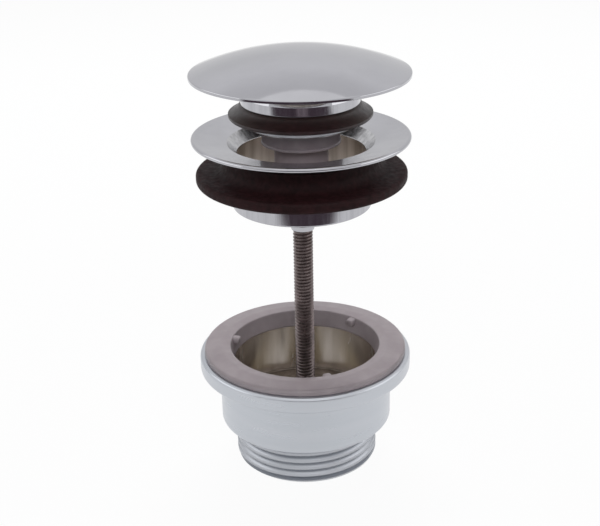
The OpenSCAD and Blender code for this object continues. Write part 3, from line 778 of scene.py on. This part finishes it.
@dataclass
class ClampScrew(SubAssembly):
    """Long threaded rod with the nose nut that holds the strainer on it."""

    rod_r: float = 2.82  # Radius over the thread
    root_r: float = 2.32  # Radius at the bottom of the thread
    pitch: float = 1.0  # Pitch of the M6 thread
    crest_w: float = 0.16  # Width of the thread's crest
    low_z: float = 2.0  # Height of the rod's lower end
    top_z: float = 84.9  # Height of its upper end
    chamfer: float = 0.8  # Chamfer on its ends
    nut_z: float = 71.6  # Height of the nose's lower end
    hex_z: float = 75.4  # Height of the hexagon's lower face
    nut_top: float = 79.0  # Height of the hexagon's upper face
    nut_af: float = 11.0  # Width of the hexagon across its flats
    nose: Point = (0.2, 1.6)  # Widening and height of the nose's slim end
    tip_r: float = 3.3  # Radius of the nose's lower end
    tapped_r: float = 3.05  # Radius of the tapped hole

    def rod(self) -> None:
        """Turns the rod's core and winds the M6 thread on it."""
        core = Bench.turn("rod_core", Outline()
                          .to(0.0, self.low_z).to(self.root_r, self.low_z, 0.2)
                          .to(self.root_r, self.top_z, 0.2).to(0.0, self.top_z), 48)
        ridge = Bench.ridge("rod_ridge", self.rod_r, self.root_r, self.crest_w, self.pitch,
                            (self.low_z, self.top_z), 48)

        def limit(height: float) -> float:
            """Radius that the chamfers on the rod's ends leave at a height."""
            left = min(height - self.low_z, self.top_z - height)
            return min(self.rod_r, self.rod_r - self.chamfer + left)

        Bench.trim(ridge, limit, (self.low_z + 0.05, self.top_z - 0.05))
        Bench.settle(ridge, 25.0)
        piece = Bench.join("clamp_rod_threaded", core, ridge)
        self.seat(piece, "clamp_rod", Body.SCREW, Slot.DARK_STEEL, ("dark_steel",))

    def nut(self) -> None:
        """Makes the nut from a hexagon with a turned nose under it."""
        size = self.nut_af / math.sqrt(3.0)
        hexagon = Bench.start("nut_hexagon", bpy.ops.mesh.primitive_cylinder_add, vertices=6, radius=size * MM,
                              depth=(self.nut_top - self.hex_z) * MM,
                              location=(0, 0, (self.nut_top + self.hex_z) / 2 * MM))
        with Bench.editing(hexagon):
            bpy.ops.mesh.bevel(offset=0.25 * MM, segments=3, affect="EDGES")
        hole = Bench.start("nut_hole", bpy.ops.mesh.primitive_cylinder_add, vertices=64, radius=self.tapped_r * MM,
                           depth=20 * MM, location=(0, 0, self.nut_top * MM))
        Bench.cut(hexagon, hole)
        Bench.settle(hexagon)
        nose = Bench.turn("nut_nose", Outline()
                          .to(self.tapped_r, self.nut_z).to(self.tip_r, self.nut_z, 0.1)
                          .to(self.tip_r + self.nose[0], self.nut_z + self.nose[1], 0.8)
                          .to(self.nut_af / 2 - 0.1, self.hex_z, 0.3).to(self.nut_af / 2 - 0.1, self.hex_z + 0.5)
                          .to(self.tapped_r, self.hex_z + 0.5), 96)
        piece = Bench.join("rod_nut_plated", nose, hexagon)
        self.seat(piece, "rod_nut", Body.SCREW, Slot.BRIGHT_CHROME, ("bright_chrome",))

    def build(self) -> None:
        """Makes the screw's pieces."""
        self.rod()
        self.nut()
        self.dress("stem_bush", "brass")
        self.dress("stem_washer", "white_acetal")


@dataclass
class Cartridge(SubAssembly):
    """Push cartridge: fixed stem, moving sleeve and the click works inside."""

    stem_r: float = 7.5  # Radius of the stem
    stem_bore: float = 5.6  # Radius of its bore
    stem_z: float = 83.7  # Height of the stem's foot
    stem_top: float = 102.37  # Height of its top
    floor_z: float = 85.3  # Height of the floor inside
    foot_r: float = 8.6  # Radius of the foot
    foot_h: float = 2.2  # Height of the foot
    foot_hole: float = 5.25  # Radius of the hole for the bush
    lip_r: float = 8.5  # Radius of the retaining lip
    lip_h: float = 1.5  # Height of that lip
    rib_r: float = 4.9  # Radius that the stem's ribs reach in to
    rib_w: float = 1.4  # Width of the ribs
    rib_z: float = 97.37  # Height of the ribs' lower end
    rib_angles: tuple[float, ...] = (0.0, 90.0, 180.0, 270.0)  # Directions of the ribs in degrees
    sleeve_z: float = 97.27  # Height of the sleeve's lower edge
    collar_r: float = 10.8  # Radius of the sleeve's collar
    bead: float = 0.25  # Width of the bead round the collar's lower edge
    shoulder_z: float = 102.47  # Height of the collar's shoulder
    neck_r: float = 9.9  # Radius of the sleeve's neck
    neck_bore: float = 8.8  # Radius inside the neck
    ring_r: float = 9.7  # Radius of the seat for the snap ring
    ring_top: float = 100.57  # Height of that seat's top
    ceiling_z: float = 110.47  # Height of the sleeve's ceiling
    top_z: float = 112.17  # Height of the sleeve's top
    stud_r: float = 3.05  # Radius of the hole for the stud
    spring_r: float = 4.1  # Radius of the spring's coil, at the wire's middle
    wire_r: float = 0.4  # Radius of the spring's wire
    spring_z: Point = (85.75, 98.42)  # Heights of the wire's middle at both ends
    spring_turns: float = 4.5  # Number of turns of the spring
    travel: float = 7.8  # Travel of the plug

    def stem(self) -> None:
        """Turns the fixed stem with its foot and lip."""
        outline = (Outline()
                   .to(self.foot_hole, self.stem_z).to(self.foot_r, self.stem_z, 0.25)
                   .to(self.foot_r, self.stem_z + self.foot_h, 0.4).to(self.stem_r, self.stem_z + self.foot_h, 0.4)
                   .to(self.stem_r, self.stem_top - self.lip_h, 0.15).to(self.lip_r, self.stem_top - self.lip_h, 0.15)
                   .to(self.lip_r, self.stem_top, 0.4).to(self.stem_bore, self.stem_top, 0.2)
                   .to(self.stem_bore, self.floor_z, 0.2).to(self.foot_hole, self.floor_z))
        tube = Bench.turn("stem_tube", outline, 128)
        ribs = [Bench.bar("stem_rib", (self.rib_r, self.stem_bore + 0.9), self.rib_w,
                          (self.rib_z, self.stem_top - 0.3), angle, 0.15) for angle in self.rib_angles]
        piece = Bench.join("cartridge_stem_moulded", tube, *ribs)
        self.seat(piece, "cartridge_stem", Body.SCREW, Slot.GREY_PLASTIC, ("grey_acetal",))

    def sleeve(self) -> None:
        """Turns the moving sleeve, with a small bead round its lower edge."""
        outline = (Outline()
                   .to(self.ring_r, self.sleeve_z, 0.15).to(self.collar_r + self.bead, self.sleeve_z, 0.2)
                   .to(self.collar_r + self.bead, self.sleeve_z + 0.4, 0.1).to(self.collar_r, self.sleeve_z + 0.7, 0.1)
                   .to(self.collar_r, self.shoulder_z, 0.35).to(self.neck_r, self.shoulder_z, 0.15)
                   .to(self.neck_r, self.top_z, 0.2).to(self.stud_r, self.top_z, 0.2)
                   .to(self.stud_r, self.ceiling_z, 0.2).to(self.neck_bore, self.ceiling_z, 0.3)
                   .to(self.neck_bore, self.ring_top, 0.1).to(self.ring_r, self.ring_top, 0.1))
        piece = Bench.turn("cartridge_sleeve_moulded", outline, 128)
        self.seat(piece, "cartridge_sleeve", Body.PLUG, Slot.GREY_PLASTIC, ("grey_acetal",))

    def spring(self) -> None:
        """Winds the return spring from round wire."""
        low, high = self.spring_z
        piece = Bench.start("return_spring_wound", bpy.ops.mesh.primitive_circle_add, vertices=16,
                            radius=self.wire_r * MM, fill_type="NOTHING", location=(self.spring_r * MM, 0, low * MM),
                            rotation=(math.pi / 2, 0, 0))
        bpy.ops.object.transform_apply(location=True, rotation=True, scale=True)
        Bench.apply(piece, "SCREW", axis="Z", angle=math.tau * self.spring_turns, screw_offset=(high - low) * MM,
                    iterations=1, steps=216, render_steps=216)
        with Bench.editing(piece):
            bpy.ops.mesh.fill_holes(sides=32)
        Bench.settle(piece)
        self.seat(piece, "return_spring", Body.SCREW, Slot.SPRING_STEEL, ("spring_steel",))
        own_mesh(piece)

    def build(self) -> None:
        """Makes the cartridge's pieces and dresses the works inside."""
        self.stem()
        self.sleeve()
        self.spring()
        self.dress("sleeve_ring", "white_acetal")
        self.dress("plunger", "white_acetal")
        self.dress("index_cam", "white_acetal")


@dataclass
class Plug(SubAssembly):
    """Domed cap with the carrier, lip seal and washer under it."""

    cap_rim: Point = (29.6, 116.47)  # Radius and height of the middle of the cap's rim
    cap_edge: float = 116.02  # Height of the lower end of the rim's upright edge
    cap_rise: float = 5.9  # Rise of the dome
    sheet: float = 1.2  # Thickness of the cap
    hub_r: float = 11.0  # Radius of the hub under the cap
    stud_r: float = 3.05  # Radius of the tapped hole
    stud_z: float = 120.07  # Height of that hole's end
    carrier_r: float = 16.35  # Radius of the seal carrier
    carrier_z: float = 108.67  # Height of its lower face
    stack_z: float = 112.17  # Height of its upper face
    steep: Point = (0.22, 0.95)  # Depth of the carrier's steep chamfer, and its start below the upper face
    bevel: Point = (0.55, 0.25)  # The same of the bevel above it
    neck_r: float = 9.95  # Radius of the hole for the cartridge's neck
    lip_r: float = 19.8  # Radius of the lip seal
    lip_z: float = 105.17  # Height of its sealing edge
    lip_edge: float = 0.6  # Height of the lip's upright edge
    lip_face: Point = (19.4, 104.726)  # Radius and height of the sealing face's inner edge
    lip_flare: float = 5.0  # Radius of the hollow flare above the lip
    lip_foot: float = 104.37  # Height of its underside
    washer_r: float = 15.0  # Radius of the washer
    shoulder_z: float = 102.47  # Height of the washer's underside

    def cap(self) -> None:
        """Turns the cap as one even sheet with an upright edge, and the hub under it."""
        reach, height = self.cap_rim
        radius = (reach ** 2 + self.cap_rise ** 2) / (2 * self.cap_rise)
        middle = height + self.cap_rise - radius
        lean = 90.0 - math.degrees(math.asin(reach / radius))
        half = self.sheet / 2
        inner = radius - half
        hub_top = middle + math.sqrt(inner ** 2 - self.hub_r ** 2)
        hub_lean = math.degrees(math.acos(self.hub_r / inner))
        brink = middle + math.sqrt((radius + half) ** 2 - (reach + half) ** 2)
        outline = (Outline()
                   .arc((0.0, middle), radius + half, 90.0, lean + 0.1, 56)
                   .to(reach + half, brink, 0.7).to(reach + half, self.cap_edge, 0.06)
                   .arc((0.0, middle), inner, lean + 0.1, hub_lean - 1.0, 30)
                   .to(self.hub_r, hub_top, 0.4).to(self.hub_r, self.stack_z, 0.4)
                   .to(self.stud_r, self.stack_z, 0.3).to(self.stud_r, self.stud_z).to(0.0, self.stud_z))
        piece = Bench.turn("plug_cap_chromed", outline, 256)

        def under(radius: float, height: float, _: float, upward: float) -> int:
            """Picks bare nickel for the hollow under the dome and for the hub."""
            hollow = radius < reach - 0.2 and upward < -0.3
            return 1 if hollow or radius < self.hub_r + 0.1 and height < hub_top else 0

        self.seat(piece, "plug_cap", Body.PLUG, Slot.BRIGHT_CHROME, ("bright_chrome", "bare_nickel"), under)

    def carrier(self) -> None:
        """Turns the seal carrier, whose steep upper chamfer catches the light under the cap."""
        outline = (Outline()
                   .to(self.neck_r, self.carrier_z, 0.2).to(self.carrier_r, self.carrier_z, 0.2)
                   .to(self.carrier_r, self.stack_z - self.steep[1], 0.12)
                   .to(self.carrier_r - self.steep[0], self.stack_z - self.bevel[1], 0.1)
                   .to(self.carrier_r - self.bevel[0], self.stack_z, 0.1).to(self.neck_r, self.stack_z, 0.3))
        piece = Bench.turn("seal_carrier_chromed", outline)

        def wall(radius: float, _: float, __: float, upward: float) -> int:
            """Picks the drawn finish for the carrier's upright wall."""
            return 1 if abs(upward) < 0.1 and radius > self.carrier_r - 0.1 else 0

        self.seat(piece, "seal_carrier", Body.PLUG, Slot.BRIGHT_CHROME, ("bright_chrome", "drawn_chrome"), wall)

    def lip(self) -> None:
        """Turns the umbrella-shaped lip seal."""
        outline = (Outline()
                   .to(self.neck_r, self.lip_foot, 0.2).to(self.washer_r + 0.4, self.lip_foot, 0.5)
                   .to(*self.lip_face, 0.25).to(self.lip_r, self.lip_z, 0.2)
                   .to(self.lip_r, self.lip_z + self.lip_edge)
                   .hollow((self.carrier_r + 0.4, self.carrier_z - 0.4), self.lip_flare, 12)
                   .to(self.carrier_r, self.carrier_z).to(self.neck_r, self.carrier_z, 0.2))
        piece = Bench.turn("lip_seal_moulded", outline)
        self.seat(piece, "lip_seal", Body.PLUG, Slot.BLACK_RUBBER, ("lip_rubber",))

    def washer(self) -> None:
        """Turns the thin washer under the lip seal."""
        outline = (Outline()
                   .to(self.neck_r, self.shoulder_z, 0.2).to(self.washer_r, self.shoulder_z, 0.35)
                   .to(self.washer_r, self.lip_foot, 0.2).to(self.neck_r, self.lip_foot, 0.2))
        piece = Bench.turn("seal_washer_stamped", outline, 160)
        self.seat(piece, "seal_washer", Body.PLUG, Slot.SPRING_STEEL, ("spring_steel",))

    def build(self) -> None:
        """Makes the plug's pieces."""
        self.cap()
        self.carrier()
        self.lip()
        self.washer()
        self.dress("cap_stud", "spring_steel")


@dataclass
class Studio:
    """Floor, light tent and camera."""

    aim_z: float = 60.86  # Height in mm of the point that the camera looks at
    distance: float = 345.8  # Distance in mm of the camera from that point
    elevation: float = 23.036  # Height of the camera over the horizon, in degrees
    roll: float = 1.08  # Turn of the picture in degrees, against the clock
    focal: float = 1205.2  # Focal length in pixels of the picture
    offset: float = 3.43  # Shift in pixels of the picture's optical centre to the right
    clip: Point = (10.0, 20000.0)  # Nearest and farthest distance in mm that the camera sees
    floor_size: float = 6000.0  # Side of the floor in mm
    floor_gap: float = 0.2  # Gap in mm under the part
    paper: str = "#f4f5f7"  # Colour of the floor's sheet
    camera_white: float = 0.94  # Share of plain white in the floor that the camera sees
    mirror_white: float = 0.80  # The same in the floor that the chrome mirrors
    tent_dim: float = 0.80  # Share of the tent's light that matt surfaces don't get
    # Rise and grey of the tent's shades, from the horizon up.
    tent_steps: tuple[Point, ...] = ((0.0, 0.72), (0.30, 0.77), (0.59, 0.885), (0.79, 0.77), (1.0, 1.0))
    tent_blue: float = 1.01  # Blue of those greys against red and green
    room_place: Triple = (-150.0, -620.0, 1.0)  # Middle of the dark room in mm
    room_size: Point = (900.0, 980.0)  # Width and depth of the dark room in mm
    room_turn: float = 10.0  # Turn of the dark room in degrees
    room_tone: str = "#4c4048"  # Colour of the dark room
    # Axis of each soft edge of the dark room, and where it starts and is full, in metres.
    room_fades: tuple[tuple[str, float, float], ...] = (
        ("X", -0.60, -0.45), ("X", 0.34, 0.26), ("Y", -0.135, -0.195))
    gleam_tone: str = "#8f8288"  # Colour of the gleam in the dark room
    gleam_squeeze: Triple = (1.0, 3.0, 1.0)  # Stretch of the room in which the gleam is round
    gleam_place: Triple = (-0.060, -1.194, 0.0)  # Middle of the gleam in that stretched room, in metres
    gleam_fade: Point = (0.11, 0.05)  # Distances from that middle where the gleam starts and is full

    def camera(self) -> None:
        """Sets the camera at the photograph's angle."""
        data = bpy.data.cameras.new("camera")
        camera = bpy.data.objects.new("camera", data)
        bpy.context.scene.collection.objects.link(camera)
        rise = math.radians(self.elevation)
        aim = Vector((0, 0, self.aim_z * MM))
        back = Vector((0, -math.cos(rise), math.sin(rise)))
        camera.location = aim + back * self.distance * MM
        turned = (-back).to_track_quat("-Z", "Y").to_matrix() @ Matrix.Rotation(-math.radians(self.roll), 3, "Z")
        camera.rotation_euler = turned.to_euler()
        data.sensor_fit = "HORIZONTAL"
        data.sensor_width = SENSOR_WIDTH
        data.lens = self.focal * SENSOR_WIDTH / IMAGE_WIDTH
        data.shift_x = -self.offset / IMAGE_WIDTH
        data.clip_start, data.clip_end = (value * MM for value in self.clip)
        bpy.context.scene.camera = camera

    @staticmethod
    def bare_nodes(piece: Piece, name: str) -> bpy.types.NodeTree:
        """Gives a piece of the studio a material whose nodes are only an output.

        Args:
            piece: Piece of the studio.
            name: Name of the material.

        Returns:
            The material's node tree.
        """
        made = bpy.data.materials.new(name)
        made.use_nodes = True
        made.node_tree.nodes.remove(made.node_tree.nodes["Principled BSDF"])
        piece.data.materials.append(made)
        return made.node_tree

    def floor(self) -> None:
        """Lays the pale floor, which the camera sees as white with the part's soft shadow."""
        piece = Bench.start("floor", bpy.ops.mesh.primitive_plane_add, size=self.floor_size * MM,
                            location=(0, 0, -self.floor_gap * MM))
        tree = self.bare_nodes(piece, "white_sheet")
        path = add_node(tree, "ShaderNodeLightPath")
        paper = add_node(tree, "ShaderNodeBsdfDiffuse", inputs={"Color": linear(self.paper)})
        white = add_node(tree, "ShaderNodeEmission", inputs={"Color": linear("#ffffff"), "Strength": 1.0})
        mirrored = add_node(tree, "ShaderNodeMath", {"operation": "MULTIPLY"}, {
            0: path.outputs["Is Glossy Ray"], 1: self.mirror_white})
        seen = add_node(tree, "ShaderNodeMath", {"operation": "MULTIPLY_ADD"}, {
            0: path.outputs["Is Camera Ray"], 1: self.camera_white, 2: mirrored.outputs[0]})
        mix = add_node(tree, "ShaderNodeMixShader", inputs={
            "Fac": seen.outputs[0], 1: paper.outputs[0], 2: white.outputs[0]})
        tree.links.new(mix.outputs[0], tree.nodes["Material Output"].inputs["Surface"])

    def card(self, name: str, size: Point, place: Triple, turn: Triple,
             strength: float, sides: int = 4) -> None:
        """Sets a white card of the light tent, which shows only in reflections.

        Args:
            name: Name of the card.
            size: Width and height in mm.
            place: Place of its middle in mm.
            turn: Euler angles in degrees.
            strength: Light that it gives back.
            sides: Number of its sides.
        """
        piece = Bench.start(name, bpy.ops.mesh.primitive_circle_add, vertices=sides, fill_type="NGON",
                            radius=math.sqrt(0.5) if sides == 4 else 0.5)
        if sides == 4:
            piece.rotation_euler.z = math.pi / 4
            bpy.ops.object.transform_apply(location=False, rotation=True, scale=False)
        piece.scale = (size[0] * MM, size[1] * MM, 1)
        piece.rotation_euler = [math.radians(angle) for angle in turn]
        piece.location = Vector(place) * MM
        tree = self.bare_nodes(piece, name)
        glow = add_node(tree, "ShaderNodeEmission", inputs={"Color": linear("#ffffff"), "Strength": strength})
        tree.links.new(glow.outputs[0], tree.nodes["Material Output"].inputs["Surface"])
        piece.visible_camera = piece.visible_shadow = piece.visible_diffuse = False

    def dark_room(self) -> None:
        """Lays the dark room beyond the bright sheet, with soft edges, where only the chrome sees it."""
        piece = Bench.start("dark_room", bpy.ops.mesh.primitive_plane_add, size=1,
                            location=Vector(self.room_place) * MM)
        piece.scale = (self.room_size[0] * MM, self.room_size[1] * MM, 1)
        bpy.ops.object.transform_apply(location=True, rotation=False, scale=True)
        piece.rotation_euler.z = math.radians(self.room_turn)
        tree = self.bare_nodes(piece, "dark_room")
        place = add_node(tree, "ShaderNodeTexCoord").outputs["Object"]
        axes = add_node(tree, "ShaderNodeSeparateXYZ", inputs={"Vector": place})
        fades = [add_node(tree, "ShaderNodeMapRange", {"interpolation_type": "SMOOTHSTEP"}, {
            "Value": axes.outputs[axis], "From Min": low, "From Max": high}).outputs["Result"]
            for axis, low, high in self.room_fades]
        part = add_node(tree, "ShaderNodeMath", {"operation": "MULTIPLY"}, {0: fades[0], 1: fades[1]})
        whole = add_node(tree, "ShaderNodeMath", {"operation": "MULTIPLY"}, {0: part.outputs[0], 1: fades[2]})
        squeezed = add_node(tree, "ShaderNodeVectorMath", {"operation": "MULTIPLY"}, {
            0: place, 1: self.gleam_squeeze})
        away = add_node(tree, "ShaderNodeVectorMath", {"operation": "DISTANCE"}, {
            0: squeezed.outputs["Vector"], 1: self.gleam_place})
        gleam = add_node(tree, "ShaderNodeMapRange", {"interpolation_type": "SMOOTHSTEP"}, {
            "Value": away.outputs["Value"], "From Min": self.gleam_fade[0], "From Max": self.gleam_fade[1]})
        colour = add_node(tree, "ShaderNodeMix", {"data_type": "RGBA"}, {
            "Factor": gleam.outputs["Result"], 6: linear(self.room_tone), 7: linear(self.gleam_tone)})
        glow = add_node(tree, "ShaderNodeEmission", inputs={"Color": colour.outputs[2], "Strength": 1.0})
        clear = add_node(tree, "ShaderNodeBsdfTransparent")
        mix = add_node(tree, "ShaderNodeMixShader", inputs={
            "Fac": whole.outputs[0], 1: clear.outputs[0], 2: glow.outputs[0]})
        tree.links.new(mix.outputs[0], tree.nodes["Material Output"].inputs["Surface"])
        piece.visible_camera = piece.visible_shadow = piece.visible_diffuse = False

    def lamp(self, name: str, size: Point, place: Triple, radiance: float,
             mirrored: bool = True) -> None:
        """Hangs a soft box that looks at the part.

        Args:
            name: Name of the lamp.
            size: Width and height in mm.
            place: Place in mm.
            radiance: Brightness of its face.
            mirrored: Whether it shows in the chrome.
        """
        data = bpy.data.lights.new(name, "AREA")
        data.shape = "RECTANGLE"
        data.size, data.size_y = size[0] * MM, size[1] * MM
        data.energy = radiance * math.pi * data.size * data.size_y
        lamp = bpy.data.objects.new(name, data)
        bpy.context.scene.collection.objects.link(lamp)
        lamp.location = Vector(place) * MM
        toward = Vector((0, 0, self.aim_z * MM)) - lamp.location
        lamp.rotation_euler = toward.to_track_quat("-Z", "Y").to_euler()
        lamp.visible_glossy = mirrored

    def tent(self) -> None:
        """Makes the world a soft grey tent, white where the camera looks past the floor."""
        world = bpy.data.worlds.new("light_tent")
        bpy.context.scene.world = world
        world.use_nodes = True
        tree = world.node_tree
        direction = add_node(tree, "ShaderNodeTexCoord").outputs["Generated"]
        rise = add_node(tree, "ShaderNodeSeparateXYZ", inputs={"Vector": direction})
        shade = add_node(tree, "ShaderNodeValToRGB", inputs={"Fac": rise.outputs["Z"]})
        stops = shade.color_ramp.elements
        for place, _ in self.tent_steps[1:-1]:
            stops.new(place)
        for stop, (place, grey) in zip(stops, self.tent_steps):
            stop.position, stop.color = place, (grey, grey, min(1.0, grey * self.tent_blue), 1)
        path = add_node(tree, "ShaderNodeLightPath")
        mix = add_node(tree, "ShaderNodeMix", {"data_type": "RGBA"}, {
            "Factor": path.outputs["Is Camera Ray"], 6: shade.outputs["Color"], 7: (1, 1, 1, 1)})
        level = add_node(tree, "ShaderNodeMath", {"operation": "MULTIPLY_ADD"}, {
            0: path.outputs["Is Diffuse Ray"], 1: -self.tent_dim, 2: 1.0})
        tree.links.new(level.outputs[0], tree.nodes["Background"].inputs["Strength"])
        tree.links.new(mix.outputs[2], tree.nodes["Background"].inputs["Color"])

    def build(self) -> None:
        """Sets up floor, tent, lamps and camera."""
        self.camera()
        self.floor()
        self.tent()
        self.dark_room()
        self.card("side_card_left", (360, 530), (-560, -30, 300), (0, 62, 0), 1.7)
        self.card("side_card_right", (360, 530), (560, -30, 300), (0, -62, 0), 1.7)
        self.card("front_card", (700, 350), (0, -620, 560), (48, 0, 0), 1.0)
        self.card("top_card", (600, 500), (0, -190, 820), (0, 0, 0), 1.15)
        self.lamp("front_box", (700, 350), (0, -620, 560), 3.3, False)
        self.lamp("back_box", (640, 40), (0, 560, 575), 52.0, False)
        self.lamp("front_spot", (26, 26), (190, -820, 560), 60.0)
        self.card("overhead_disc", (722, 722), (25, 115, 800), (180, 0, 0), 1.02, 64)
        bpy.context.scene.view_settings.view_transform = "Standard"


def main() -> None:
    """Builds the sub-assemblies and the studio."""
    logging.basicConfig(level=logging.INFO, format="%(message)s")
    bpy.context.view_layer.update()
    finishes = Finishes().make()
    for assembly in (Tail, Strainer, ClampScrew, Cartridge, Plug):
        assembly(finishes).build()
        LOG.info("%s is built", assembly.__name__)
    Studio().build()


if __name__ == "__main__":
    main()
